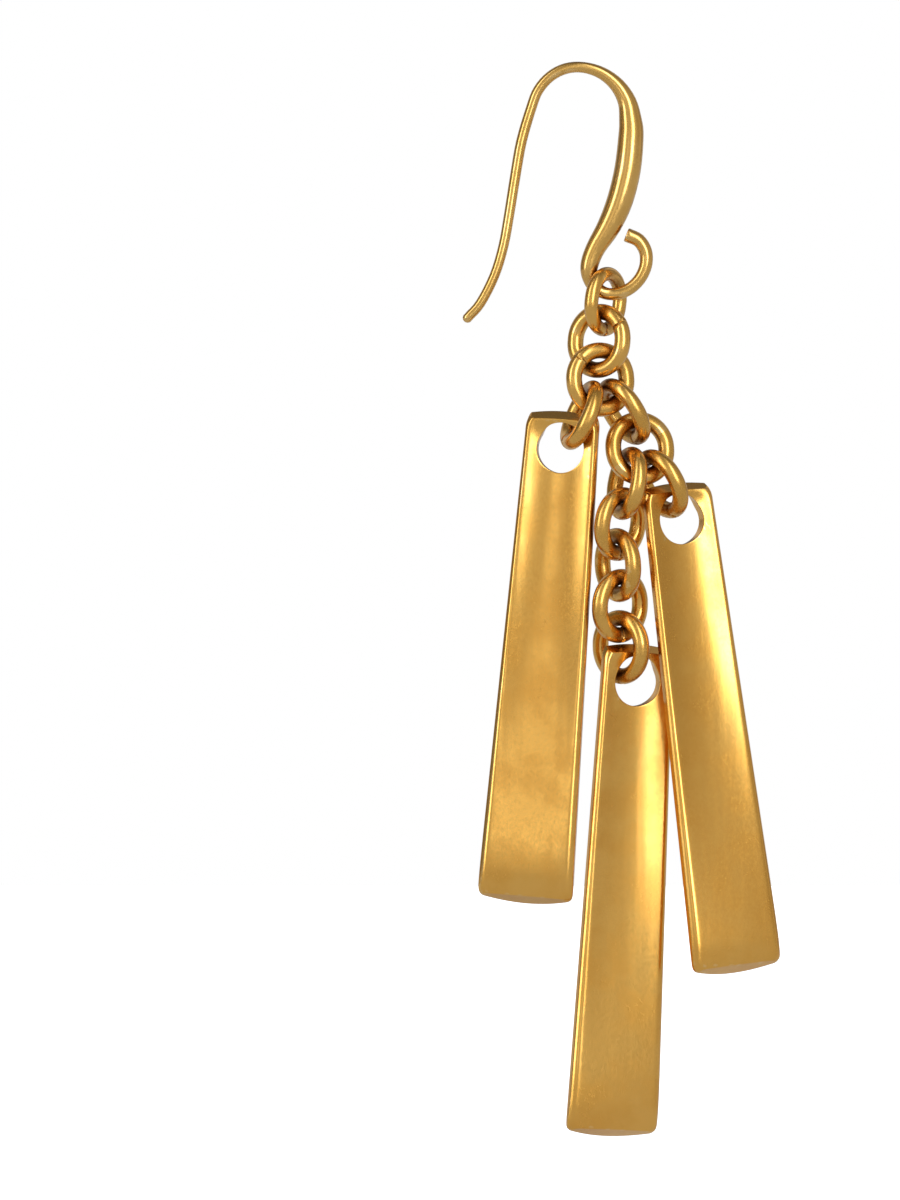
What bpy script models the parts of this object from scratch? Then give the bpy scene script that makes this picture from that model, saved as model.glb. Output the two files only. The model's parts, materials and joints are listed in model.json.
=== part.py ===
"""A drop earring: an ear wire, a forked chain of heavy oval links and three long paddles.

Metres, +Z up, the front towards -Y. The origin is the underside of the ear wire's top
bend, the place that rests in the ear. Each paddle's own origin is the middle of the link
wire that it hangs on and swings about.
"""
import math
from collections import namedtuple

import bmesh
import bpy
import numpy as np
from mathutils import Matrix, Vector

# Ear wire: the bend over the ear, the tail behind the ear and the arm in front of it
BEND_RADIUS = 0.00460
BEND_LEFT_SHARE = 0.88
BEND_LEFT_ANGLE = 166
BEND_RIGHT_ANGLE = 0
TAIL_DROP = 0.0183
TAIL_SWEEP = 0.00585
ARM_DROP = 0.0123
ARM_SWEEP = 0.0035
EYE_LONG = 0.0055
EYE_SHORT = 0.0045
EYE_TILT = 50
EYE_START_ANGLE = 178
EYE_TIP_ANGLE = 432
TAIL_WIRE = 0.00085
TAIL_TIP_WIRE = 0.00087
BEND_WIRE = 0.00094
ARM_WIRE = 0.00215
EYE_WIRE = 0.00106
EYE_TIP_WIRE = 0.00122

# Links: outer length and width of the oval, and its wire
LINK_LENGTH = 0.00640
LINK_WIDTH = 0.00620
LINK_WIRE = 0.00138
TOP_LINK_LENGTH = 0.00600
TOP_LINK_WIDTH = 0.00570
TOP_LINK_WIRE = 0.00120
LINK_GAP = 0.00007

# Paddles: a tapered bar with a scooped front, bevelled flanks and a domed back
PADDLE_LENGTH = 0.0409
PADDLE_HEAD_WIDTH = 0.0063
PADDLE_FOOT_WIDTH = 0.0083
PADDLE_EDGE = 0.00100
FLANK_DEPTH = 0.00040
FLANK_WIDTH = 0.00028
SCOOP_DEPTH = 0.00055
BACK_RISE = 0.00105
HEAD_CORNER = 0.00075
FOOT_CORNER = 0.00055
HEAD_SLOPE = 0.60
FOOT_SLOPE = 0.42
HOLE_DIAMETER = 0.00410
HOLE_DROP = 0.00253
HOLE_GAP = 0.00010

# Fineness of the faceted solids
LINK_POINTS = 16
PLAN_POINTS = 96
SEAT_STEP = 0.00004
SEAT_HALVINGS = 8
HOLE_SIDES = 32
CUTTER_DEPTH = 0.012
SMOOTH_ANGLE = 35

GOLD = (0.56, 0.33, 0.09)
GOLD_ROUGHNESS = 0.30

# Tail of the ear wire, from the bend's left end to the tip, in shares of its own sizes
TailPoint = namedtuple("TailPoint", "sweep drop bend_share")
TAIL_RUN = [
    TailPoint(0.146, 0.16, 0.80),
    TailPoint(0.24, 0.33, 0.60),
    TailPoint(0.325, 0.50, 0.40),
    TailPoint(0.41, 0.65, 0.20),
    TailPoint(0.543, 0.79, 0.00),
    TailPoint(0.75, 0.92, 0.00),
    TailPoint(0.934, 0.985, 0.00),
]

# Arm of the ear wire, from the bend's right end down to the eye, in shares of its sizes
ArmPoint = namedtuple("ArmPoint", "sweep drop thickness")
ARM_RUN = [
    ArmPoint(-0.012, 0.11, 1.01),
    ArmPoint(0.07, 0.34, 1.06),
    ArmPoint(0.26, 0.56, 1.05),
    ArmPoint(0.53, 0.74, 0.95),
    ArmPoint(0.85, 0.89, 0.79),
]

# Links in the order that they hang: turn is about the upright, nod is the foot towards
# the back and lean is the foot towards the left, in degrees. Seat is where the link hangs
# on its carrier's wire, in degrees round from the carrier's bottom towards its right
HangingPose = namedtuple("HangingPose", "name carrier turn nod lean seat")
CHAIN = [
    HangingPose("link_top", "ear_hook", 57, -2, 7, -21),
    HangingPose("link_upper", "link_top", -34, -3, 4, -10),
    HangingPose("link_fork_left", "link_upper", 21, 0, -5, 6),
    HangingPose("link_side_left", "link_fork_left", -75, 0, 24, -37),
    HangingPose("link_middle", "link_fork_left", -66, 5, -31, 37),
    HangingPose("link_fork_right", "link_middle", 19, -8, -4, 1),
    HangingPose("link_low_1", "link_fork_right", -67, 1, 11, -29),
    HangingPose("link_side_right", "link_fork_right", -59, 0, -29, 31),
    HangingPose("link_low_2", "link_low_1", 50, 3, 7, 1),
    HangingPose("link_low_3", "link_low_2", -58, 2, -3, 2),
    HangingPose("link_low_4", "link_low_3", 44, 5, 1, 3),
    HangingPose("link_low_5", "link_low_4", -44, 5, -1, 4),
]

# Paddles, with the same columns. Lay is where the wire lies in the paddle's hole, in
# degrees round from the hole's top towards the right
PaddlePose = namedtuple("PaddlePose", "name carrier turn nod lean seat lay")
PADDLES = [
    PaddlePose("paddle_left", "link_side_left", -10, 0, 4.6, -6, 42),
    PaddlePose("paddle_right", "link_side_right", 23, -1.5, -7.3, -2, -16),
    PaddlePose("paddle_centre", "link_low_5", 20, 0.5, 3.1, 14, -58),
]

# Front and back of a paddle's section, in shares of its half width, left to right
FRONT_STEPS = (-0.86, -0.62, -0.32, 0.0, 0.32, 0.62, 0.86)
BACK_STEPS = (0.82, 0.55, 0.2, -0.2, -0.55, -0.82)

# Along a paddle, in shares of its length: how deep the scoop and how high the back is
PaddleStep = namedtuple("PaddleStep", "share scoop back")
PADDLE_RUN = [
    PaddleStep(0.00, 0.25, 0.45),
    PaddleStep(0.03, 0.95, 0.55),
    PaddleStep(0.08, 1.00, 0.65),
    PaddleStep(0.16, 1.00, 0.78),
    PaddleStep(0.28, 0.92, 0.90),
    PaddleStep(0.42, 0.70, 1.00),
    PaddleStep(0.58, 0.42, 1.00),
    PaddleStep(0.74, 0.12, 1.00),
    PaddleStep(0.88, -0.10, 1.00),
    PaddleStep(1.00, -0.16, 0.95),
]


def rotation(turn, nod, lean):
    """The pose of a hanging piece: turned about the upright, then nodded, then leaned."""
    turned = Matrix.Rotation(math.radians(turn), 4, "Z")
    nodded = Matrix.Rotation(math.radians(nod), 4, "X")
    leaned = Matrix.Rotation(math.radians(lean), 4, "Y")
    return leaned @ nodded @ turned


def gold_material(name):
    """Satin gold for one piece."""
    material = bpy.data.materials.new(name)
    material.use_nodes = True
    shader = material.node_tree.nodes["Principled BSDF"]
    shader.inputs["Base Color"].default_value = (*GOLD, 1.0)
    shader.inputs["Metallic"].default_value = 1.0
    shader.inputs["Roughness"].default_value = GOLD_ROUGHNESS
    return material


def smooth_run(points, per_span):
    """Points along a smooth curve that passes through every given point."""
    points = np.array(points, dtype=float)
    padded = np.vstack([2 * points[0] - points[1], points, 2 * points[-1] - points[-2]])
    run = []
    for index in range(len(points) - 1):
        before, start, end, after = padded[index:index + 4]
        for step in range(per_span):
            t = step / per_span
            run.append(0.5 * (2 * start + (end - before) * t
                              + (2 * before - 5 * start + 4 * end - after) * t ** 2
                              + (3 * start - before - 3 * end + after) * t ** 3))
    run.append(points[-1])
    return np.array(run)


def eye_offset(angle):
    """A point on the eye's oval centre line, from the eye's middle."""
    half_long, half_short = EYE_LONG / 2, EYE_SHORT / 2
    off_axis = math.radians(angle - EYE_TILT)
    reach = half_long * half_short / math.hypot(half_short * math.cos(off_axis),
                                                half_long * math.sin(off_axis))
    return reach * math.cos(math.radians(angle)), reach * math.sin(math.radians(angle))


def bend_point(angle):
    """A point on the top bend's centre line."""
    radians = math.radians(angle)
    middle_z = BEND_WIRE / 2 - BEND_RADIUS
    across = BEND_RADIUS * math.cos(radians) * (BEND_LEFT_SHARE if angle > 90 else 1)
    return across, middle_z + BEND_RADIUS * math.sin(radians)


def eye_point(angle):
    """A point on the eye's centre line."""
    arm_x, arm_z = bend_point(BEND_RIGHT_ANGLE)
    start_x, start_z = eye_offset(EYE_START_ANGLE)
    x, z = eye_offset(angle)
    return arm_x - ARM_SWEEP - start_x + x, arm_z - ARM_DROP - start_z + z


def hook_run():
    """Centre line of the ear wire from its tail's tip to the eye's tip: x, z and wire."""
    left_x, left_z = bend_point(BEND_LEFT_ANGLE)
    right_x, right_z = bend_point(BEND_RIGHT_ANGLE)
    tail = [(left_x - step.sweep * TAIL_SWEEP, left_z - step.drop * TAIL_DROP,
             TAIL_WIRE + step.bend_share * (BEND_WIRE - TAIL_WIRE)) for step in TAIL_RUN]
    tail.append((left_x - TAIL_SWEEP, left_z - TAIL_DROP, TAIL_TIP_WIRE))
    tail.reverse()

    bend = []
    bend_steps = 8
    for step in range(bend_steps + 1):
        share = step / bend_steps
        x, z = bend_point(BEND_LEFT_ANGLE + share * (BEND_RIGHT_ANGLE - BEND_LEFT_ANGLE))
        wire = BEND_WIRE + max(0.0, share - 0.5) ** 1.5 * 2.4 * (ARM_WIRE - BEND_WIRE)
        wire -= max(0.0, 0.4 - share) * (BEND_WIRE - TAIL_WIRE)
        bend.append((x, z, wire))

    arm = [(right_x - step.sweep * ARM_SWEEP, right_z - step.drop * ARM_DROP,
            step.thickness * ARM_WIRE) for step in ARM_RUN]

    eye = []
    eye_steps = 11
    for step in range(eye_steps + 1):
        share = step / eye_steps
        x, z = eye_point(EYE_START_ANGLE + share * (EYE_TIP_ANGLE - EYE_START_ANGLE))
        thick = ARM_RUN[-1].thickness * ARM_WIRE - EYE_WIRE
        wire = EYE_WIRE + max(0.0, 1 - share * 4) * thick * 0.8
        wire += max(0.0, share - 0.6) * 2.5 * (EYE_TIP_WIRE - EYE_WIRE)
        eye.append((x, z, wire))
    return smooth_run(tail + bend + arm + eye, 2)


def oval_point(length, width, wire, angle):
    """A point on a link's centre line, in degrees round from its bottom to its right."""
    radius = (width - wire) / 2
    straight = (length - width) / 2
    x, z = radius * math.sin(math.radians(angle)), -radius * math.cos(math.radians(angle))
    return x, 0.0, z - straight if z < 0 else z + straight


def oval_line(length, width, wire, count):
    """Closed centre line of a link: two half circles joined by short straight sides."""
    return np.array([oval_point(length, width, wire, 360 * (index + 0.5) / count)
                     for index in range(count)])


def placed(points, pose):
    """Points moved by a matrix, as an array."""
    return np.array([(pose @ Vector(point))[:] for point in points])


def clearance(points, radius, others, other_radii):
    """Smallest distance between a round wire, or bare points, and another wire."""
    distances = np.linalg.norm(points[:, None, :] - others[None, :, :], axis=2)
    return (distances - radius - np.reshape(other_radii, (1, -1))).min()


def hang(points, radius, carrier, carrier_radii, gap, down, reach):
    """How far a piece drops until it hangs on its carrier.

    The piece starts round its carrier's wire. It is lowered to the clearest place, and
    from there to the last one that keeps the gap.
    """
    drops = np.arange(0.0, reach, SEAT_STEP)
    room = [clearance(points + drop * down, radius, carrier, carrier_radii)
            for drop in drops]
    index = int(np.argmax(room))
    while index + 1 < len(room) and room[index + 1] >= gap:
        index += 1
    high, low = drops[index], drops[index] + SEAT_STEP
    for _ in range(SEAT_HALVINGS):
        middle = (high + low) / 2
        if clearance(points + middle * down, radius, carrier, carrier_radii) >= gap:
            high = middle
        else:
            low = middle
    return high


def link_sizes(name):
    """Length, width and wire of a link."""
    if name == "link_top":
        return TOP_LINK_LENGTH, TOP_LINK_WIDTH, TOP_LINK_WIRE
    return LINK_LENGTH, LINK_WIDTH, LINK_WIRE


def seat_point(row, poses):
    """The point of the carrier's centre line that a piece hangs on."""
    if row.carrier == "ear_hook":
        x, z = eye_point(270 + row.seat)
        return Vector((x, 0.0, z))
    return poses[row.carrier] @ Vector(oval_point(*link_sizes(row.carrier), row.seat))


def chain_places(hook_line, hook_radii):
    """Matrix and centre line of each link, hung one from the other down the chain."""
    lines = {"ear_hook": (hook_line, hook_radii)}
    poses = {}
    for row in CHAIN:
        length, width, wire = link_sizes(row.name)
        turned = rotation(row.turn, row.nod, row.lean)
        down = -turned.col[2].to_3d()
        pose = Matrix.Translation(seat_point(row, poses)) @ turned
        points = placed(oval_line(length, width, wire, PLAN_POINTS), pose)
        drop = hang(points, wire / 2, *lines[row.carrier], LINK_GAP, np.array(down),
                    length / 2)
        poses[row.name] = Matrix.Translation(down * drop) @ pose
        lines[row.name] = (points + drop * np.array(down), np.full(PLAN_POINTS, wire / 2))
    return poses, lines


def wire_object(name, points, radii, widest, sides, closed, collection):
    """A round wire along given points, with its own thickness at each."""
    curve = bpy.data.curves.new(name, "CURVE")
    curve.dimensions = "3D"
    curve.bevel_depth = widest / 2
    curve.bevel_resolution = sides
    curve.use_fill_caps = not closed
    spline = curve.splines.new("POLY")
    spline.points.add(len(points) - 1)
    for place, point, radius in zip(spline.points, points, radii):
        place.co = (*point, 1.0)
        place.radius = radius / (widest / 2)
    spline.use_cyclic_u = closed
    spline.use_smooth = True
    piece = bpy.data.objects.new(name, curve)
    curve.materials.append(gold_material(name + "_gold"))
    collection.objects.link(piece)
    return piece


def make_hook(run, collection):
    """The ear wire, from a small round tail tip to the open eye's cut end."""
    points = [(x, 0.0, z) for x, z, _ in run]
    radii = [wire / 2 for _, _, wire in run]
    radii[0] = TAIL_WIRE / 4
    return wire_object("ear_hook", points, radii, ARM_WIRE, 2, False, collection)


def make_link(name, pose, collection):
    """One oval link at its place in the chain."""
    length, width, wire = link_sizes(name)
    points = oval_line(length, width, wire, LINK_POINTS)
    link = wire_object(name, points, [wire / 2] * LINK_POINTS, wire, 1, True, collection)
    link.matrix_world = pose
    return link


def along_paddle(distance):
    """Half width, scoop depth and back height at a distance below the paddle's head."""
    share = distance / PADDLE_LENGTH
    shares = [step.share for step in PADDLE_RUN]
    half_width = (PADDLE_HEAD_WIDTH + share * (PADDLE_FOOT_WIDTH - PADDLE_HEAD_WIDTH)) / 2
    scoop = np.interp(share, shares, [step.scoop for step in PADDLE_RUN]) * SCOOP_DEPTH
    back = np.interp(share, shares, [step.back for step in PADDLE_RUN]) * BACK_RISE
    return half_width, scoop, back


def front_depth(share, scoop):
    """Front face of a paddle at a share of its half width: a trough between two rims."""
    rim = max(abs(step) for step in FRONT_STEPS)
    return -PADDLE_EDGE / 2 + scoop * max(0.0, 1 - (share / rim) ** 2)


def back_depth(share, back):
    """Domed back of a paddle at a share of its half width."""
    return PADDLE_EDGE / 2 + back * (1 - share ** 2)


def wall_middle():
    """Depth of the middle of the wall just above the hole."""
    _, scoop, back = along_paddle(HOLE_DROP - HOLE_DIAMETER / 2)
    return (front_depth(0.0, scoop) + back_depth(0.0, back)) / 2


def paddle_section(distance):
    """One closed ring of a paddle's loft, from the left rim round by the back."""
    half_width, scoop, back = along_paddle(distance)
    to_end = min(distance, PADDLE_LENGTH - distance)
    at_head = distance < PADDLE_LENGTH / 2
    corner = HEAD_CORNER if at_head else FOOT_CORNER
    if to_end < corner:
        half_width -= corner - math.sqrt(corner ** 2 - (corner - to_end) ** 2)
    slope = -HEAD_SLOPE if at_head else FOOT_SLOPE
    slope *= max(0.0, min(1.0, 2 - to_end / corner))
    rim = -PADDLE_EDGE / 2
    face = half_width - FLANK_WIDTH
    ring = [(-half_width, rim + FLANK_DEPTH), (-face, rim)]
    ring += [(step * face, front_depth(step, scoop)) for step in FRONT_STEPS]
    ring += [(face, rim), (half_width, rim + FLANK_DEPTH), (half_width, -rim)]
    ring += [(step * half_width, back_depth(step, back)) for step in BACK_STEPS]
    ring += [(-half_width, -rim)]
    middle = wall_middle()
    return [(x, y - middle, -distance - slope * (y - rim)) for x, y in ring]


def paddle_distances():
    """Where the loft's rings stand: along the length, and closer round the corners."""
    ends = (0.0, 0.15, 0.45, 1.0, 2.0)
    distances = {share * HEAD_CORNER for share in ends}
    distances |= {PADDLE_LENGTH - share * FOOT_CORNER for share in ends}
    inner = [step.share * PADDLE_LENGTH for step in PADDLE_RUN[2:-1]]
    distances |= set(inner)
    return sorted(distances)


def hole_points(depth_steps=5, round_steps=48):
    """Points on the wall of the hole, from the hole's middle."""
    points = []
    radius = HOLE_DIAMETER / 2
    for index in range(round_steps):
        angle = 2 * math.pi * index / round_steps
        x, z = radius * math.sin(angle), radius * math.cos(angle)
        half_width, scoop, back = along_paddle(HOLE_DROP - z)
        share = x / half_width
        front, rear = front_depth(share, scoop), back_depth(share, back)
        for step in range(depth_steps):
            y = front + (rear - front) * step / (depth_steps - 1)
            points.append((x, y - wall_middle(), z))
    return np.array(points)


def paddle_place(row, poses, lines):
    """Matrix of a paddle, with the middle of its carrier's wire as its origin.

    Also gives the middle of the hole from that origin, across and up.
    """
    pose = Matrix.Translation(seat_point(row, poses)) @ rotation(row.turn, row.nod, row.lean)
    lay = math.radians(row.lay)
    away = Vector((-math.sin(lay), 0.0, -math.cos(lay)))
    points = placed(hole_points(), pose)
    down = np.array(pose.to_3x3() @ away)
    shift = hang(points, 0.0, *lines[row.carrier], HOLE_GAP, down, HOLE_DIAMETER / 2)
    return pose, away * shift


def make_paddle(row, pose, hole, collection, cutters):
    """A scooped paddle: lofted, then bored through near its head."""
    shape = bmesh.new()
    rings = []
    for distance in paddle_distances():
        section = [(x + hole.x, y, z + hole.z + HOLE_DROP)
                   for x, y, z in paddle_section(distance)]
        rings.append([shape.verts.new(point) for point in section])
    for upper, lower in zip(rings, rings[1:]):
        for index in range(len(upper)):
            following = (index + 1) % len(upper)
            shape.faces.new((upper[index], upper[following],
                             lower[following], lower[index]))
    shape.faces.new(rings[0])
    shape.faces.new(rings[-1])
    bmesh.ops.recalc_face_normals(shape, faces=shape.faces)
    mesh = bpy.data.meshes.new(row.name)
    shape.to_mesh(mesh)
    shape.free()
    mesh.materials.append(gold_material(row.name + "_gold"))
    paddle = bpy.data.objects.new(row.name, mesh)
    collection.objects.link(paddle)
    paddle.matrix_world = pose

    bore = bmesh.new()
    bmesh.ops.create_cone(bore, cap_ends=True, segments=HOLE_SIDES, depth=CUTTER_DEPTH,
                          radius1=HOLE_DIAMETER / 2, radius2=HOLE_DIAMETER / 2)
    drill_mesh = bpy.data.meshes.new(row.name + "_bore")
    bore.to_mesh(drill_mesh)
    bore.free()
    drill = bpy.data.objects.new(row.name + "_bore", drill_mesh)
    cutters.objects.link(drill)
    sideways = Matrix.Rotation(math.radians(90), 4, "X")
    drill.matrix_world = pose @ Matrix.Translation(hole) @ sideways
    drill.hide_render = True
    drill.display_type = "WIRE"
    cut = paddle.modifiers.new("hole", "BOOLEAN")
    cut.operation = "DIFFERENCE"
    cut.object = drill
    mesh.shade_smooth()
    mesh.set_sharp_from_angle(angle=math.radians(SMOOTH_ANGLE))
    return paddle


def clear_scene():
    """Take away what the scene starts with."""
    for thing in list(bpy.data.objects):
        bpy.data.objects.remove(thing, do_unlink=True)


def new_collection(name):
    """A collection in the scene."""
    collection = bpy.data.collections.new(name)
    bpy.context.scene.collection.children.link(collection)
    return collection


def main():
    """Build the earring."""
    clear_scene()
    earring = new_collection("drop_earring")
    cutters = new_collection("drop_earring_cutters")
    run = hook_run()
    make_hook(run, earring)
    hook_line = np.array([(x, 0.0, z) for x, z, _ in run])
    poses, lines = chain_places(hook_line, run[:, 2] / 2)
    for row in CHAIN:
        make_link(row.name, poses[row.name], earring)
    for row in PADDLES:
        pose, hole = paddle_place(row, poses, lines)
        make_paddle(row, pose, hole, earring, cutters)
    bpy.context.view_layer.update()


main()
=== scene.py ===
"""The looks of a drop earring: an ear wire, twelve oval links and three scooped paddles.

Metres, +Z up, the front towards -Y.
"""
import json
import math
from collections import namedtuple

import bpy
import numpy as np
from mathutils import Matrix, Vector

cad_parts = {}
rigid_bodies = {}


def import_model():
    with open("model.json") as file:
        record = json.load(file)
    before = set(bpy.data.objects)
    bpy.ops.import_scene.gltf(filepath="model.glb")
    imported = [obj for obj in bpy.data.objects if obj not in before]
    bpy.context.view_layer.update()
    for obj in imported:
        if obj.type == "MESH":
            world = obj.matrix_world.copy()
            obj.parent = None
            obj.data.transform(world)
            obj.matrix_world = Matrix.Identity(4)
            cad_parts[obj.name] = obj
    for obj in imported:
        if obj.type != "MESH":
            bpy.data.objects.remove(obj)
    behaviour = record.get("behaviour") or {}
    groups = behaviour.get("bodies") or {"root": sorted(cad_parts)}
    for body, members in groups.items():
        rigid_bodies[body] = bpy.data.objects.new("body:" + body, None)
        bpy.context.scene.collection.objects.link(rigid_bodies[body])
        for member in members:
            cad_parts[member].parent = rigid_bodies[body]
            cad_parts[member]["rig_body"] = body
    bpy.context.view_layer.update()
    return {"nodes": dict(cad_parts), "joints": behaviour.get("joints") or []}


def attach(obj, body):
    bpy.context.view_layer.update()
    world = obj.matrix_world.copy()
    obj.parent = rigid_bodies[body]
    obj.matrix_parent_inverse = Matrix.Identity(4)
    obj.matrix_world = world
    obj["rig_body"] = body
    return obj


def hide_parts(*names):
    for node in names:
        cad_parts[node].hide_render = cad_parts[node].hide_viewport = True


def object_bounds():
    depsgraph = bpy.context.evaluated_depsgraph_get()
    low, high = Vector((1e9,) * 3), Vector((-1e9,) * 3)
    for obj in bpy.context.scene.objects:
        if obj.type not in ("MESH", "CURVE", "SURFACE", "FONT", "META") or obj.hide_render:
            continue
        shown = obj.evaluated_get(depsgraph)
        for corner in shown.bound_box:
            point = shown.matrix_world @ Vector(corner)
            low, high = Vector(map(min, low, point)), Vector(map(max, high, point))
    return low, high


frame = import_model()
nodes = frame["nodes"]

# Ear wire
BEND_RADIUS = 0.00460
BEND_LEFT_SHARE = 0.88
BEND_LEFT_ANGLE = 166
BEND_RIGHT_ANGLE = 0
TAIL_DROP = 0.0183
TAIL_SWEEP = 0.00585
ARM_DROP = 0.0123
ARM_SWEEP = 0.0035
EYE_LONG = 0.0055
EYE_SHORT = 0.0045
EYE_TILT = 50
EYE_START_ANGLE = 178
EYE_TIP_ANGLE = 432
TAIL_WIRE = 0.00085
TAIL_TIP_WIRE = 0.00087
BEND_WIRE = 0.00094
ARM_WIRE = 0.00215
EYE_WIRE = 0.00106
EYE_TIP_WIRE = 0.00122
TAIL_RUN = [(0.146, 0.16, 0.80), (0.24, 0.33, 0.60), (0.325, 0.50, 0.40), (0.41, 0.65, 0.20),
            (0.543, 0.79, 0.00), (0.75, 0.92, 0.00), (0.934, 0.985, 0.00)]
ARM_RUN = [(-0.012, 0.11, 1.01), (0.07, 0.34, 1.06), (0.26, 0.56, 1.05), (0.53, 0.74, 0.95),
           (0.85, 0.89, 0.79)]
# The wire swells from the middle of the bend to the arm, thins from there to the tail,
# and thins again from the arm into the eye
SWELL_START = 0.5
SWELL_POWER = 1.5
SWELL_GAIN = 2.4
THIN_START = 0.4
EYE_SWELL = 0.8
EYE_THINNING = 4
EYE_TIP_START = 0.6
EYE_TIP_GAIN = 2.5
# Rounded ends: how far on, in half wires at the tail and whole wires at the eye, and the
# share of the wire there
TAIL_END = [(0.02, 0.20), (0.20, 0.60), (0.55, 0.89), (1.0, 1.0)]
EYE_END = [(0.06, 0.95), (0.09, 0.86)]
TAIL_END_REACH = 0.6
BEND_STEPS = 8
EYE_STEPS = 11
RUN_STEPS = 4
WIRE_SIDES = 32
WIRE_SMOOTH_ANGLE = 50

# Links: length, width and wire
LINK_SIZE = (0.00640, 0.00620, 0.00138)
TOP_LINK_SIZE = (0.00600, 0.00570, 0.00120)
LINK_ROUND = 96
LINK_SIDES = 32
LINK_SMOOTH_ANGLE = 40
LINKS = ["link_top", "link_upper", "link_fork_left", "link_side_left", "link_middle",
         "link_fork_right", "link_low_1", "link_side_right", "link_low_2", "link_low_3",
         "link_low_4", "link_low_5"]
# Where each link was closed, in degrees round from its top towards its right
SEAMS = {"link_upper": 52, "link_fork_left": -50}
HIDDEN_SEAM = 176
SEAM_SLANT = 24
SEAM_WIDTH = 0.00011
SEAM_DEPTH = 0.00016
SEAM_CUTS = (-1.5, -0.5, 0.5, 1.5)

# Paddles: turn, nod and lean in degrees
PADDLE_POSES = {"paddle_left": (-10, 0, 4.6), "paddle_right": (23, -1.5, -7.3),
                "paddle_centre": (20, 0.5, 3.1)}
PADDLE_LENGTH = 0.0409
PADDLE_HEAD_WIDTH = 0.0063
PADDLE_FOOT_WIDTH = 0.0083
PADDLE_EDGE = 0.00100
FLANK_DEPTH = 0.00040
SCOOP_DEPTH = 0.00055
BACK_RISE = 0.00105
HEAD_CORNER = 0.00075
FOOT_CORNER = 0.00055
HEAD_SLOPE = 0.60
FOOT_SLOPE = 0.42
HOLE_DIAMETER = 0.00410
HOLE_DROP = 0.00253
# Along a paddle: share of its length, of the scoop's depth and of the back's rise
PADDLE_RUN = [(0.00, 0.25, 0.45), (0.03, 0.95, 0.55), (0.08, 1.00, 0.65), (0.16, 1.00, 0.78),
              (0.28, 0.92, 0.90), (0.42, 0.70, 1.00), (0.58, 0.42, 1.00), (0.74, 0.12, 1.00),
              (0.88, -0.10, 1.00), (1.00, -0.16, 0.95)]
RUN_SPAN_STEPS = 12
# Where the front's scoop ends, and how far its rims, head and foot are rounded
FLANK_SHARE = 0.077
RIM_ROUND = 0.17
RIM_POWER = 2.6
HEAD_ROUND = 0.0007
HEAD_ROUND_DEPTH = 0.00014
FOOT_ROUND = 0.0034
FOOT_ROUND_DEPTH = 0.00036
# Mesh of a paddle: shares of the half width where its outer columns stand, the block
# round its hole, its rows, and the loops that keep its lip and walls tight when rounded
RIM_SHARES = (1.0, 0.985, 0.955, 0.915, 0.865, 0.80)
BLOCK = 12
BLOCK_TOP = 0.00026
BLOCK_FOOT = 0.0058
HEAD_ROWS = (0.00012, 0.00018)
LOWER_ROWS = 18
FOOT_ROWS = (0.00200, 0.00130, 0.00080, 0.00040, 0.00012, 0.0)
LIP_HOLD = 0.00007
BLANK_THICK = 0.001
WALL_HOLD = 0.00012
ROUNDING_LEVELS = 2


def owner(node):
    """The body that a CAD node belongs to."""
    return nodes[node]["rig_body"]


def clear_selection():
    """Nothing selected and nothing in edit mode."""
    if bpy.context.object and bpy.context.object.mode != "OBJECT":
        bpy.ops.object.mode_set(mode="OBJECT")
    bpy.ops.object.select_all(action="DESELECT")


def pick(piece):
    """Make one piece the selected and active one."""
    clear_selection()
    piece.select_set(True)
    bpy.context.view_layer.objects.active = piece


def place_in_mesh(piece, pose=Matrix.Identity(4)):
    """Move a piece's mesh to its place, so that the object itself sits at the origin."""
    bpy.context.view_layer.update()
    piece.data.transform(pose @ piece.matrix_world)
    piece.matrix_world = Matrix.Identity(4)


def choose(piece, test, kind="VERT"):
    """In edit mode, select the points or faces whose place passes a test."""
    bpy.ops.object.mode_set(mode="EDIT")
    bpy.ops.mesh.select_mode(type=kind)
    bpy.ops.mesh.select_all(action="DESELECT")
    bpy.ops.object.mode_set(mode="OBJECT")
    items = piece.data.vertices if kind == "VERT" else piece.data.polygons
    for item in items:
        if test(item.co if kind == "VERT" else item.center):
            item.select = True
    bpy.ops.object.mode_set(mode="EDIT")


def apply_modifiers(piece):
    """Apply every modifier of a piece, in order."""
    pick(piece)
    for modifier in list(piece.modifiers):
        bpy.ops.object.modifier_apply(modifier=modifier.name)


def finish_piece(piece, node, material):
    """Colour a finished piece, let it stand for its CAD node and move with its body."""
    piece.data.materials.clear()
    piece.data.materials.append(material)
    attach(piece, owner(node))
    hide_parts(node)


# Ear wire

def bend_point(angle):
    """A point on the top bend's centre line."""
    turn = math.radians(angle)
    across = BEND_RADIUS * math.cos(turn) * (BEND_LEFT_SHARE if angle > 90 else 1)
    return across, BEND_WIRE / 2 - BEND_RADIUS * (1 - math.sin(turn))


def eye_offset(angle):
    """A point on the eye's oval centre line, from the eye's middle."""
    half_long, half_short = EYE_LONG / 2, EYE_SHORT / 2
    off_axis = math.radians(angle - EYE_TILT)
    reach = half_long * half_short / math.hypot(half_short * math.cos(off_axis),
                                                half_long * math.sin(off_axis))
    return reach * math.cos(math.radians(angle)), reach * math.sin(math.radians(angle))


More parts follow.
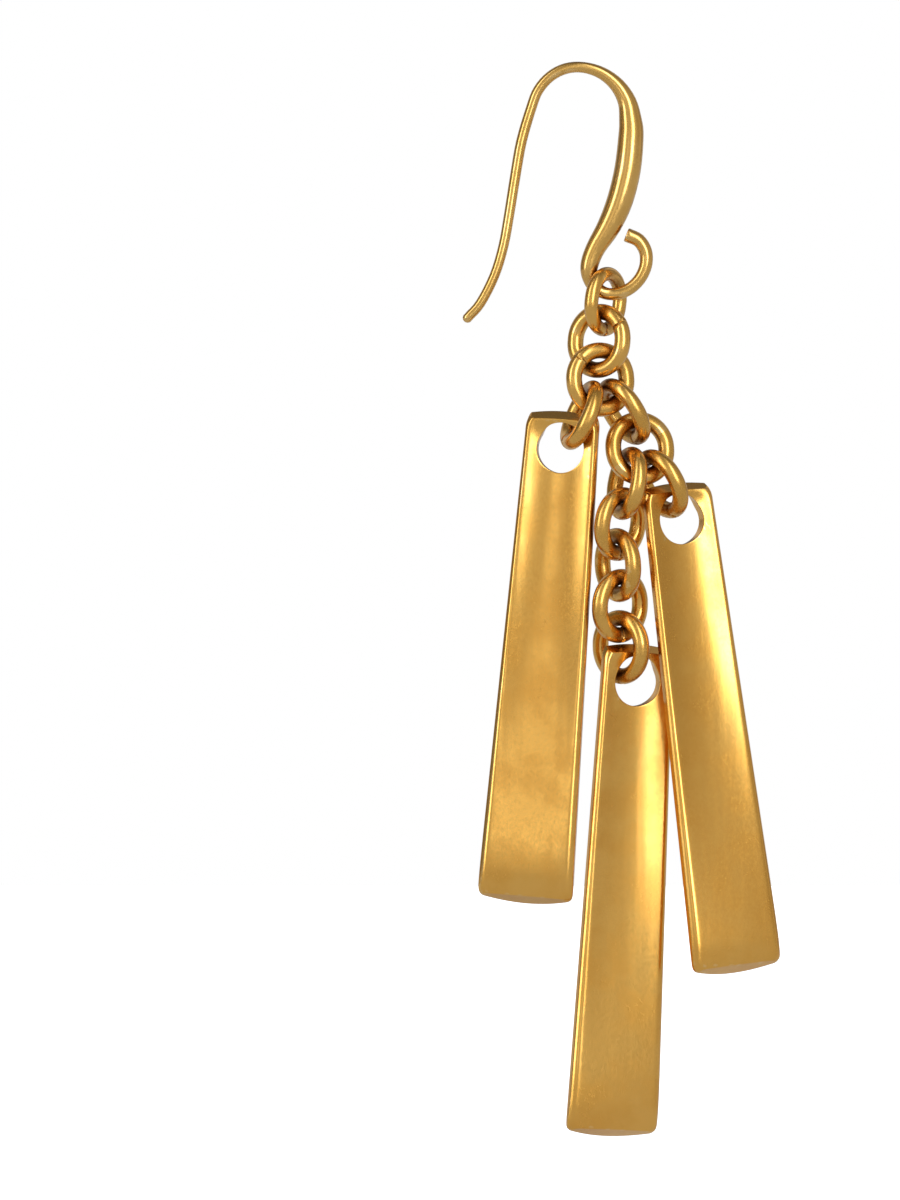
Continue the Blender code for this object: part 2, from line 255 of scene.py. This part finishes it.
def smooth_run(points, per_span):
    """Points along a smooth curve that passes through every given point."""
    points = np.array(points, dtype=float)
    padded = np.vstack([2 * points[0] - points[1], points, 2 * points[-1] - points[-2]])
    run = []
    for index in range(len(points) - 1):
        before, start, end, after = padded[index:index + 4]
        for step in range(per_span):
            t = step / per_span
            run.append(0.5 * (2 * start + (end - before) * t
                              + (2 * before - 5 * start + 4 * end - after) * t ** 2
                              + (3 * start - before - 3 * end + after) * t ** 3))
    run.append(points[-1])
    return np.array(run)


def wire_run():
    """Centre line of the ear wire, from the tail's tip to the eye's tip: x, z and wire."""
    left_x, left_z = bend_point(BEND_LEFT_ANGLE)
    right_x, right_z = bend_point(BEND_RIGHT_ANGLE)
    tail = [(left_x - sweep * TAIL_SWEEP, left_z - drop * TAIL_DROP,
             TAIL_WIRE + bend * (BEND_WIRE - TAIL_WIRE)) for sweep, drop, bend in TAIL_RUN]
    tail.append((left_x - TAIL_SWEEP, left_z - TAIL_DROP, TAIL_TIP_WIRE))
    tail.reverse()
    bend = []
    for step in range(BEND_STEPS + 1):
        share = step / BEND_STEPS
        x, z = bend_point(BEND_LEFT_ANGLE + share * (BEND_RIGHT_ANGLE - BEND_LEFT_ANGLE))
        swell = max(0.0, share - SWELL_START) ** SWELL_POWER * SWELL_GAIN
        wire = BEND_WIRE + swell * (ARM_WIRE - BEND_WIRE)
        bend.append((x, z, wire - max(0.0, THIN_START - share) * (BEND_WIRE - TAIL_WIRE)))
    arm = [(right_x - sweep * ARM_SWEEP, right_z - drop * ARM_DROP, thick * ARM_WIRE)
           for sweep, drop, thick in ARM_RUN]
    start_x, start_z = eye_offset(EYE_START_ANGLE)
    eye_x, eye_z = right_x - ARM_SWEEP - start_x, right_z - ARM_DROP - start_z
    thick = ARM_RUN[-1][2] * ARM_WIRE - EYE_WIRE
    eye = []
    for step in range(EYE_STEPS + 1):
        share = step / EYE_STEPS
        x, z = eye_offset(EYE_START_ANGLE + share * (EYE_TIP_ANGLE - EYE_START_ANGLE))
        wire = EYE_WIRE + max(0.0, 1 - share * EYE_THINNING) * thick * EYE_SWELL
        wire += max(0.0, share - EYE_TIP_START) * EYE_TIP_GAIN * (EYE_TIP_WIRE - EYE_WIRE)
        eye.append((eye_x + x, eye_z + z, wire))
    return smooth_run(tail + bend + arm + eye, RUN_STEPS)


def wire_stations():
    """Where the ear wire's cross-sections stand: x, z, wire and the line's bearing."""
    run = wire_run()
    steps = np.gradient(run[:, :2], axis=0)
    bearings = np.arctan2(steps[:, 1], steps[:, 0])
    first_x, first_z, first_wire = run[0]
    onward = Vector((math.cos(bearings[0]), 0, math.sin(bearings[0])))
    stations = []
    for forward, share in TAIL_END:
        stations.append((first_x + onward.x * forward * first_wire / 2,
                         first_z + onward.z * forward * first_wire / 2,
                         first_wire * share, bearings[0]))
    stations += [(x, z, wire, bearing) for (x, z, wire), bearing in zip(run, bearings)
                 if math.hypot(x - first_x, z - first_z) > first_wire * TAIL_END_REACH]
    last_x, last_z, last_wire, last_bearing = stations[-1]
    ahead = Vector((math.cos(last_bearing), 0, math.sin(last_bearing)))
    for forward, share in EYE_END:
        stations.append((last_x + ahead.x * forward * last_wire,
                         last_z + ahead.z * forward * last_wire,
                         last_wire * share, last_bearing))
    return stations


def make_ear_wire():
    """A round disc drawn out along the ear wire's line, with both its ends rounded."""
    stations = wire_stations()
    clear_selection()
    x, z, wire, bearing = stations[0]
    bpy.ops.mesh.primitive_circle_add(vertices=WIRE_SIDES, radius=wire / 2, fill_type="NGON",
                                      location=(x, 0, z),
                                      rotation=(0, math.pi / 2 - bearing, 0))
    wire_piece = bpy.context.object
    wire_piece.name = "ear_wire"
    bpy.ops.object.transform_apply(location=True, rotation=True, scale=True)
    bpy.ops.object.mode_set(mode="EDIT")
    bpy.ops.mesh.select_all(action="SELECT")
    for x_to, z_to, wire_to, bearing_to in stations[1:]:
        bpy.ops.mesh.extrude_region_move(
            TRANSFORM_OT_translate={"value": (x_to - x, 0, z_to - z)})
        turn = bearing_to - bearing
        turn = (turn + math.pi) % (2 * math.pi) - math.pi
        if abs(turn) > 1e-6:
            bpy.ops.transform.rotate(value=turn, orient_axis="Y", orient_type="GLOBAL",
                                     center_override=(x_to, 0, z_to))
        bpy.ops.transform.resize(value=(wire_to / wire,) * 3,
                                 center_override=(x_to, 0, z_to))
        x, z, wire, bearing = x_to, z_to, wire_to, bearing_to
    bpy.ops.mesh.select_all(action="SELECT")
    bpy.ops.mesh.normals_make_consistent(inside=False)
    bpy.ops.object.mode_set(mode="OBJECT")
    bpy.ops.object.shade_smooth_by_angle(angle=math.radians(WIRE_SMOOTH_ANGLE))
    return wire_piece


# Links

def make_link(name, size, seam):
    """A torus with a slanted seam across its wire, drawn into an oval.

    The seam is so many degrees round from the top.
    """
    length, width, wire = size
    clear_selection()
    bpy.ops.mesh.primitive_torus_add(major_segments=LINK_ROUND, minor_segments=LINK_SIDES,
                                     major_radius=(width - wire) / 2, minor_radius=wire / 2,
                                     rotation=(math.pi / 2, 0, 0))
    link = bpy.context.object
    link.name = name
    bpy.ops.object.transform_apply(location=True, rotation=True, scale=True)
    turn = math.radians(seam)
    outward = Vector((math.sin(turn), 0, math.cos(turn)))
    slant = math.radians(SEAM_SLANT)
    across = Vector((math.cos(turn), 0, -math.sin(turn))) * math.cos(slant)
    across.y = math.sin(slant)
    centre = outward * (width - wire) / 2
    for offset in SEAM_CUTS:
        choose(link, lambda place: (place - centre).length < wire, "FACE")
        bpy.ops.mesh.bisect(plane_co=centre + across * offset * SEAM_WIDTH, plane_no=across)
    choose(link, lambda place: (place - centre).length < wire
           and abs((place - centre).dot(across)) < SEAM_WIDTH * 0.6)
    shrink = 1 - 2 * SEAM_DEPTH / wire
    bpy.ops.transform.resize(value=(shrink, shrink, shrink), center_override=centre)
    straight = (length - width) / 2
    for side in (1, -1):
        choose(link, lambda place: place.z * side > 1e-6)
        bpy.ops.transform.translate(value=(0, 0, side * straight))
    bpy.ops.object.mode_set(mode="OBJECT")
    bpy.ops.object.shade_smooth_by_angle(angle=math.radians(LINK_SMOOTH_ANGLE))
    return link


def link_pose(node):
    """Where a link lies, from the CAD: its long way up and its face to the front."""
    points = np.unique(np.round([v.co for v in nodes[node].data.vertices], 7), axis=0)
    middle = points.mean(axis=0)
    _, _, ways = np.linalg.svd(points - middle)
    up, face = Vector(ways[0]), Vector(ways[2])
    if up.z < 0:
        up = -up
    if face.y > 0:
        face = -face
    side = (-face).cross(up)
    pose = Matrix((side, -face, up)).transposed().to_4x4()
    pose.translation = middle
    return pose


def make_links(material):
    """Every link of the chain, copied from its pattern and laid where the CAD has it."""
    patterns = {"link_top": make_link("top_link_pattern", TOP_LINK_SIZE, HIDDEN_SEAM)}
    for node, seam in SEAMS.items():
        patterns[node] = make_link(node + "_pattern", LINK_SIZE, seam)
    common = make_link("link_pattern", LINK_SIZE, HIDDEN_SEAM)
    for node in LINKS:
        pattern = patterns.get(node, common)
        link = pattern.copy()
        link.data = pattern.data.copy()
        link.name = node.replace("link", "oval_link")
        bpy.context.scene.collection.objects.link(link)
        place_in_mesh(link, link_pose(node))
        finish_piece(link, node, material)
    for pattern in (*patterns.values(), common):
        bpy.data.objects.remove(pattern)


# Paddles

SMOOTH_RUN = smooth_run(PADDLE_RUN, RUN_SPAN_STEPS).T


def along_paddle(distance):
    """Half width, scoop depth and back rise at a distance below the paddle's head."""
    share = distance / PADDLE_LENGTH
    half = (PADDLE_HEAD_WIDTH + share * (PADDLE_FOOT_WIDTH - PADDLE_HEAD_WIDTH)) / 2
    to_end = max(0.0, min(distance, PADDLE_LENGTH - distance))
    corner = HEAD_CORNER if distance < PADDLE_LENGTH / 2 else FOOT_CORNER
    if to_end < corner:
        half -= corner - math.sqrt(corner ** 2 - (corner - to_end) ** 2)
    return (half, float(np.interp(share, SMOOTH_RUN[0], SMOOTH_RUN[1])) * SCOOP_DEPTH,
            float(np.interp(share, SMOOTH_RUN[0], SMOOTH_RUN[2])) * BACK_RISE)


def end_slope(distance):
    """How much the paddle's ends slope back, at a distance below its head."""
    to_end = min(distance, PADDLE_LENGTH - distance)
    at_head = distance < PADDLE_LENGTH / 2
    corner = HEAD_CORNER if at_head else FOOT_CORNER
    slope = -HEAD_SLOPE if at_head else FOOT_SLOPE
    return slope * max(0.0, min(1.0, 2 - to_end / corner))


def paddle_faces(x, distance):
    """Depth of the paddle's front and of its back at a place."""
    half, scoop, back = along_paddle(distance)
    across = min(1.0, abs(x) / half)
    rim = -PADDLE_EDGE / 2
    front = rim + scoop * max(0.0, 1 - (across / (1 - FLANK_SHARE)) ** 2)
    front += FLANK_DEPTH * max(0.0, (across - 1) / RIM_ROUND + 1) ** RIM_POWER
    front += HEAD_ROUND_DEPTH * max(0.0, 1 - distance / HEAD_ROUND) ** 2
    to_foot = PADDLE_LENGTH - distance
    front += FOOT_ROUND_DEPTH * max(0.0, 1 - to_foot / FOOT_ROUND) ** 2
    return front, -rim + back * (1 - across ** 2)


def wall_middle():
    """Depth of the middle of the wall just above the hole."""
    _, scoop, back = along_paddle(HOLE_DROP - HOLE_DIAMETER / 2)
    return (scoop + back) / 2


def paddle_rows():
    """Distances below the head where the blank has its rows."""
    rows = list(HEAD_ROWS)
    rows += [BLOCK_TOP + (BLOCK_FOOT - BLOCK_TOP) * step / BLOCK for step in range(BLOCK + 1)]
    last = PADDLE_LENGTH - 2 * FOOT_ROWS[0]
    rows += [BLOCK_FOOT + (last - BLOCK_FOOT) * step / LOWER_ROWS
             for step in range(1, LOWER_ROWS + 1)]
    return rows + [PADDLE_LENGTH - to_end for to_end in FOOT_ROWS]


def draw_blank():
    """The outline of a paddle drawn out of a grid, column by column and row by row."""
    rows = paddle_rows()
    rims = len(RIM_SHARES) - 1
    columns = BLOCK + 2 * rims
    clear_selection()
    bpy.ops.mesh.primitive_grid_add(x_subdivisions=columns, y_subdivisions=len(rows) - 1,
                                    size=2, rotation=(math.pi / 2, 0, 0))
    blank = bpy.context.object
    blank.name = "paddle_pattern"
    bpy.ops.object.transform_apply(location=False, rotation=True, scale=False)
    places = [-share for share in RIM_SHARES[:rims]]
    places += [RIM_SHARES[-1] * (2 * step / BLOCK - 1) for step in range(BLOCK + 1)]
    places += [share for share in reversed(RIM_SHARES[:rims])]
    for column, across in enumerate(places):
        start = 2 * column / columns - 1
        choose(blank, lambda place: abs(place.x - start) < 0.3 / columns
               and place.y < 0.5)
        bpy.ops.transform.translate(value=(across - start, 1, 0))
    for index, distance in enumerate(rows):
        start = 1 - 2 * index / (len(rows) - 1)
        choose(blank, lambda place: abs(place.z - start) < 0.3 / len(rows)
               and place.y > 0.5)
        half = along_paddle(distance)[0]
        bpy.ops.transform.resize(value=(half, 1, 1), center_override=(0, 0, 0))
        bpy.ops.transform.translate(value=(0, -1, HOLE_DROP - distance - start))
    return blank


def on_hole(place, radius):
    """Whether a place lies on a circle round the hole's middle."""
    return abs(math.hypot(place.x, place.z) - radius) < LIP_HOLD / 10


def cut_hole(blank):
    """The hole's block taken out of the blank, and its edge bridged to a round lip."""
    top, foot = HOLE_DROP - BLOCK_TOP, HOLE_DROP - BLOCK_FOOT

    def in_block(place, slack):
        edge = RIM_SHARES[-1] * along_paddle(HOLE_DROP - place.z)[0]
        return foot - slack < place.z < top + slack and abs(place.x) < edge + slack

    choose(blank, lambda place: in_block(place, 0.0), "FACE")
    bpy.ops.mesh.delete(type="FACE")
    radius = HOLE_DIAMETER / 2
    bpy.ops.mesh.primitive_circle_add(vertices=4 * BLOCK, radius=radius,
                                      rotation=(math.pi / 2, 0, 0), location=(0, 0, 0))
    choose(blank, lambda place: on_hole(place, radius))
    bpy.ops.mesh.extrude_region_move(TRANSFORM_OT_translate={"value": (0, 0, 0)})
    widen = 1 + LIP_HOLD / radius
    bpy.ops.transform.resize(value=(widen, 1, widen), center_override=(0, 0, 0))
    choose(blank, lambda place: on_hole(place, radius + LIP_HOLD)
           or (in_block(place, 1e-6) and not on_hole(place, radius)))
    bpy.ops.mesh.select_mode(type="EDGE")
    bpy.ops.mesh.bridge_edge_loops(number_cuts=2, interpolation="LINEAR")


def thicken(blank):
    """The flat blank drawn back to its thickness, with tight loops along its walls."""
    bpy.ops.mesh.select_mode(type="FACE")
    bpy.ops.mesh.select_all(action="SELECT")
    bpy.ops.mesh.extrude_region_move(TRANSFORM_OT_translate={"value": (0, BLANK_THICK, 0)})
    bpy.ops.mesh.select_all(action="SELECT")
    bpy.ops.mesh.normals_make_consistent(inside=False)
    choose(blank, lambda place: 0.1 < place.y / BLANK_THICK < 0.9, "FACE")
    bpy.ops.mesh.inset(thickness=WALL_HOLD, depth=0, use_boundary=True,
                       use_even_offset=True)
    bpy.ops.object.mode_set(mode="OBJECT")


def press(blank):
    """The blank pressed to its scooped front and domed back, with its ends slanted."""
    for vertex in blank.data.vertices:
        x, y, z = vertex.co
        distance = min(PADDLE_LENGTH, max(0.0, HOLE_DROP - z))
        front, back = paddle_faces(x, distance)
        depth = front + y / BLANK_THICK * (back - front)
        vertex.co = (x, depth - wall_middle(),
                     z - end_slope(distance) * (depth + PADDLE_EDGE / 2))


def make_paddle():
    """The pattern of a paddle, with the middle of its hole at the origin."""
    blank = draw_blank()
    cut_hole(blank)
    thicken(blank)
    press(blank)
    rounding = blank.modifiers.new("rounding", "SUBSURF")
    rounding.levels = ROUNDING_LEVELS
    rounding.render_levels = ROUNDING_LEVELS
    apply_modifiers(blank)
    bpy.ops.object.shade_smooth()
    return blank


def paddle_pose(node):
    """Where a paddle hangs: its pose about its joint, and its hole's middle from there."""
    turn, nod, lean = [math.radians(angle) for angle in PADDLE_POSES[node]]
    pose = (Matrix.Rotation(lean, 4, "Y") @ Matrix.Rotation(nod, 4, "X")
            @ Matrix.Rotation(turn, 4, "Z"))
    joint = next(each for each in frame["joints"] if each["child"] == owner(node))
    pose.translation = Vector(joint["pos_m"])
    inverse = pose.inverted()
    points = np.array([(inverse @ vertex.co)[:] for vertex in nodes[node].data.vertices])
    upper = points[points[:, 2] > points[:, 2].max() - PADDLE_LENGTH / 5]
    rims = upper[upper[:, 1] < upper[:, 1].min() + 1e-6]
    hole = Vector(((points[:, 0].min() + points[:, 0].max()) / 2,
                   rims[0, 1] + PADDLE_EDGE / 2 + wall_middle(),
                   rims[:, 2].max() - HOLE_DROP))
    return pose @ Matrix.Translation(hole)


def make_paddles(material):
    """The three paddles, copied from one pattern and hung where the CAD has them."""
    pattern = make_paddle()
    for node in PADDLE_POSES:
        paddle = pattern.copy()
        paddle.data = pattern.data.copy()
        paddle.name = node.replace("paddle", "scooped_paddle")
        bpy.context.scene.collection.objects.link(paddle)
        place_in_mesh(paddle, paddle_pose(node))
        finish_piece(paddle, node, material)
    bpy.data.objects.remove(pattern)


# Gold

PADDLE_GOLDS = ((0.93, 0.505, 0.100), (0.86, 0.435, 0.072))
LINK_GOLDS = ((0.90, 0.50, 0.105), (0.78, 0.41, 0.070))
WIRE_GOLDS = ((0.88, 0.52, 0.135), (0.80, 0.45, 0.100))
BROWN_GOLD = (0.50, 0.22, 0.04)
# Dark brown of the painted shade in hollows and between links
PAINTED_SHADE_GOLD = (0.22, 0.085, 0.015)
WORN_GOLD = (0.98, 0.66, 0.26)
# Patterns to the metre
PATCHES = 260
PITS = 5200
# From the low and high end of a pattern to the share of a colour there
PATCH_SHARES = (0.35, 0.65, 0.0, 1.0)
SPECK_SHARES = (0.60, 0.78, 0.0, 0.22)
WORN_SHARES = (0.515, 0.56, 0.0, 0.5)
# Painted shade: from the low and high end of the occlusion to the share of dark brown, and how
# far the occlusion reaches
PAINTED_SHADE_SHARES = (0.25, 0.95, 0.85, 0.0)
PAINTED_SHADE_REACH = 0.0010
# What pits, patches, wear and the painted shade in hollows do to the roughness
PIT_ROUGH = (-0.03, 0.05)
PATCH_ROUGH = (0.03, -0.03)
WORN_ROUGH = (0.0, -0.05)
PAINTED_SHADE_ROUGH = (0.0, 0.12)
COAT = 0.4
COAT_ROUGHNESS = 0.15


class Paint:
    """A material's nodes, added one after the other."""

    def __init__(self, name):
        self.material = bpy.data.materials.new(name)
        self.material.use_nodes = True
        self.tree = self.material.node_tree
        self.shader = self.tree.nodes["Principled BSDF"]

    def add(self, kind, **settings):
        """A node with its settings."""
        node = self.tree.nodes.new(kind)
        for name, value in settings.items():
            setattr(node, name, value)
        return node

    def join(self, source, target):
        """A link from one socket to another."""
        self.tree.links.new(source, target)

    def noise(self, scale, stretch=(1, 1, 1), detail=3.0, roughness=0.55):
        """A noise pattern on the piece, so many to the metre and drawn out by a stretch."""
        place = self.add("ShaderNodeTexCoord")
        mapping = self.add("ShaderNodeMapping")
        mapping.inputs["Scale"].default_value = stretch
        noise = self.add("ShaderNodeTexNoise")
        noise.inputs["Scale"].default_value = scale
        noise.inputs["Detail"].default_value = detail
        noise.inputs["Roughness"].default_value = roughness
        self.join(place.outputs["Object"], mapping.inputs["Vector"])
        self.join(mapping.outputs["Vector"], noise.inputs["Vector"])
        return noise.outputs["Fac"]

    def spread(self, source, low, high, to_low, to_high):
        """A value spread smoothly from one range to another."""
        node = self.add("ShaderNodeMapRange", interpolation_type="SMOOTHSTEP")
        for name, value in (("From Min", low), ("From Max", high),
                            ("To Min", to_low), ("To Max", to_high)):
            node.inputs[name].default_value = value
        self.join(source, node.inputs["Value"])
        return node.outputs["Result"]

    def mix(self, share, first, second):
        """One colour blended into another by a share."""
        node = self.add("ShaderNodeMix", data_type="RGBA")
        self.join(share, node.inputs["Factor"])
        for socket, colour in ((node.inputs["A"], first), (node.inputs["B"], second)):
            if isinstance(colour, tuple):
                socket.default_value = (*colour, 1.0)
            else:
                self.join(colour, socket)
        return node.outputs["Result"]

    def sum(self, first, second, operation="ADD"):
        """Two values added, or joined by another operation."""
        node = self.add("ShaderNodeMath", operation=operation)
        for socket, value in zip(node.inputs, (first, second)):
            if isinstance(value, float):
                socket.default_value = value
            else:
                self.join(value, socket)
        return node.outputs["Value"]


def satin_gold(name, golds, roughness, grain, waves):
    """Old gold with a satin grain, paler on worn edges, with painted shade that makes it brown
    and dull in hollows.
    """
    paint = Paint(name)
    patches = paint.spread(paint.noise(PATCHES, detail=4.0), *PATCH_SHARES)
    colour = paint.mix(patches, golds[1], golds[0])
    grain_stretch, grain_depth = grain
    pits = paint.noise(PITS, grain_stretch, detail=4.0, roughness=0.6)
    specks = paint.spread(pits, *SPECK_SHARES)
    colour = paint.mix(specks, colour, BROWN_GOLD)
    edges = paint.add("ShaderNodeNewGeometry").outputs["Pointiness"]
    worn = paint.spread(edges, *WORN_SHARES)
    colour = paint.mix(worn, colour, WORN_GOLD)
    # Painted shade: ambient occlusion darkens the gold towards dark brown in hollows and
    # between links
    painted_shade_occlusion = paint.add("ShaderNodeAmbientOcclusion", samples=6)
    painted_shade_occlusion.inputs["Distance"].default_value = PAINTED_SHADE_REACH
    painted_shade = paint.spread(painted_shade_occlusion.outputs["AO"], *PAINTED_SHADE_SHARES)
    colour = paint.mix(painted_shade, colour, PAINTED_SHADE_GOLD)
    rough = paint.spread(pits, 0.3, 0.7, *[roughness + change for change in PIT_ROUGH])
    for share, changes in ((patches, PATCH_ROUGH), (worn, WORN_ROUGH), (painted_shade, PAINTED_SHADE_ROUGH)):
        rough = paint.sum(rough, paint.spread(share, 0.0, 1.0, *changes))
    wave_scale, wave_stretch, wave_depth = waves
    depth = paint.spread(patches, 0.0, 1.0, grain_depth * 0.4, grain_depth)
    wave = paint.noise(wave_scale, wave_stretch, detail=2.0)
    height = paint.sum(paint.sum(pits, depth, "MULTIPLY"),
                       paint.sum(wave, wave_depth, "MULTIPLY"))
    bump = paint.add("ShaderNodeBump")
    bump.inputs["Strength"].default_value = 1.0
    bump.inputs["Distance"].default_value = 1.0
    paint.join(height, bump.inputs["Height"])
    shader = paint.shader
    paint.join(colour, shader.inputs["Base Color"])
    paint.join(rough, shader.inputs["Roughness"])
    paint.join(bump.outputs["Normal"], shader.inputs["Normal"])
    shader.inputs["Metallic"].default_value = 1.0
    shader.inputs["Coat Weight"].default_value = COAT
    shader.inputs["Coat Roughness"].default_value = COAT_ROUGHNESS
    return paint.material


wire_gold = satin_gold("ear_wire_gold", WIRE_GOLDS, 0.20, ((1, 1, 0.6), 0.0000010),
                       (500, (1, 1, 1), 0.000006))
link_gold = satin_gold("link_gold", LINK_GOLDS, 0.25, ((1, 1, 1), 0.0000020),
                       (900, (1, 1, 1), 0.000014))
paddle_gold = satin_gold("paddle_gold", PADDLE_GOLDS, 0.20, ((1, 1, 0.6), 0.0000030),
                         (520, (1, 1, 0.10), 0.000030))
finish_piece(make_ear_wire(), "ear_hook", wire_gold)
make_links(link_gold)
make_paddles(paddle_gold)


# Floor, light and camera

PIXEL = 0.000086
ORIGIN_PIXEL = (577.0, 72.5)
PICTURE = (900, 1200)
CAMERA_DISTANCE = 1.1
CAMERA_FAR = 20
SENSOR = 24
FLOOR_GAP = 0.012
FLOOR_SIZE = 3.0
# Studio, by direction: soft lamps in a dim room. Across is degrees to the right of the
# camera and up is degrees over the horizon, each with the reach at which a lamp is half
# as bright
Lamp = namedtuple("Lamp", "across across_reach up up_reach strength tint")
WARM = (1.0, 0.97, 0.92)
PLAIN = (1.0, 1.03, 1.10)
COOL = (0.95, 1.04, 1.25)
ROOM_LIGHT = 0.13
LAMP_EDGE = 4.0
LAMPS = [
    Lamp(10, 75, 5, 55, 0.36, WARM),
    Lamp(20, 8, 0, 50, 5.0, COOL),
    Lamp(-20, 7, -9, 10, 1.50, PLAIN),
    Lamp(40, 9, -12, 12, 0.25, PLAIN),
    Lamp(-56, 7, 0, 50, 3.6, COOL),
    Lamp(100, 14, 0, 40, 0.25, WARM),
    Lamp(148, 12, 10, 50, 0.45, WARM),
    Lamp(-148, 12, 10, 50, 0.45, WARM),
]


def soft_studio(world):
    """White behind the piece, and a dim room with soft lamps for it to mirror."""
    world.use_nodes = True
    tree = world.node_tree
    nodes_in, join = tree.nodes, tree.links.new
    background = nodes_in["Background"]

    def number(operation, *values):
        node = nodes_in.new("ShaderNodeMath")
        node.operation = operation
        for socket, value in zip(node.inputs, values):
            if isinstance(value, (int, float)):
                socket.default_value = value
            else:
                join(value, socket)
        return node.outputs["Value"]

    def lobe(angle, middle, reach):
        """One in the middle, falling off softly past the reach."""
        away = number("DIVIDE", number("ABSOLUTE", number("SUBTRACT", angle, middle)), reach)
        return number("DIVIDE", 1.0, number("ADD", 1.0, number("POWER", away, LAMP_EDGE)))

    place = nodes_in.new("ShaderNodeTexCoord")
    parts = nodes_in.new("ShaderNodeSeparateXYZ")
    join(place.outputs["Generated"], parts.inputs["Vector"])
    to_right, ahead, rise = (parts.outputs[axis] for axis in "XYZ")
    across = number("DEGREES", number("ARCTAN2", to_right, number("MULTIPLY", ahead, -1.0)))
    up = number("DEGREES", number("ARCSINE", rise))
    light = nodes_in.new("ShaderNodeCombineXYZ").outputs["Vector"]
    for axis in range(3):
        light.node.inputs[axis].default_value = ROOM_LIGHT * WARM[axis]
    for lamp in LAMPS:
        glow = number("MULTIPLY", lobe(across, lamp.across, lamp.across_reach),
                      lobe(up, lamp.up, lamp.up_reach))
        added = nodes_in.new("ShaderNodeVectorMath")
        added.operation = "MULTIPLY_ADD"
        for axis in range(3):
            added.inputs[1].default_value[axis] = lamp.strength * lamp.tint[axis]
        join(glow, added.inputs[0])
        join(light, added.inputs[2])
        light = added.outputs["Vector"]
    seen = nodes_in.new("ShaderNodeLightPath").outputs["Is Camera Ray"]
    blend = nodes_in.new("ShaderNodeMix")
    blend.data_type = "RGBA"
    join(seen, blend.inputs["Factor"])
    join(light, blend.inputs["A"])
    blend.inputs["B"].default_value = (1, 1, 1, 1)
    join(blend.outputs["Result"], background.inputs["Color"])
    background.inputs["Strength"].default_value = 1.0


bpy.ops.object.select_all(action="DESELECT")
lowest = Vector(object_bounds()[0]).z
bpy.ops.mesh.primitive_plane_add(size=FLOOR_SIZE, location=(0, 0, lowest - FLOOR_GAP))
floor = bpy.context.object
floor.name = "floor"
pale = bpy.data.materials.new("pale_floor")
pale.use_nodes = True
pale_shader = pale.node_tree.nodes["Principled BSDF"]
pale_shader.inputs["Base Color"].default_value = (0.9, 0.9, 0.9, 1)
pale_shader.inputs["Roughness"].default_value = 0.9
pale_shader.inputs["Emission Color"].default_value = (1, 1, 1, 1)
floor_seen = pale.node_tree.nodes.new("ShaderNodeLightPath")
pale.node_tree.links.new(floor_seen.outputs["Is Camera Ray"],
                         pale_shader.inputs["Emission Strength"])
floor.data.materials.append(pale)

studio = bpy.context.scene.world or bpy.data.worlds.new("studio")
bpy.context.scene.world = studio
soft_studio(studio)

middle_x = (PICTURE[0] / 2 - ORIGIN_PIXEL[0]) * PIXEL
middle_z = (ORIGIN_PIXEL[1] - PICTURE[1] / 2) * PIXEL
bpy.ops.object.camera_add(location=(middle_x, -CAMERA_DISTANCE, middle_z),
                          rotation=(math.pi / 2, 0, 0))
camera = bpy.context.object
camera.data.sensor_fit = "VERTICAL"
camera.data.sensor_height = SENSOR
camera.data.lens = SENSOR * CAMERA_DISTANCE / (PICTURE[1] * PIXEL)
camera.data.clip_end = CAMERA_FAR
bpy.context.scene.camera = camera
bpy.context.scene.view_settings.view_transform = "Standard"
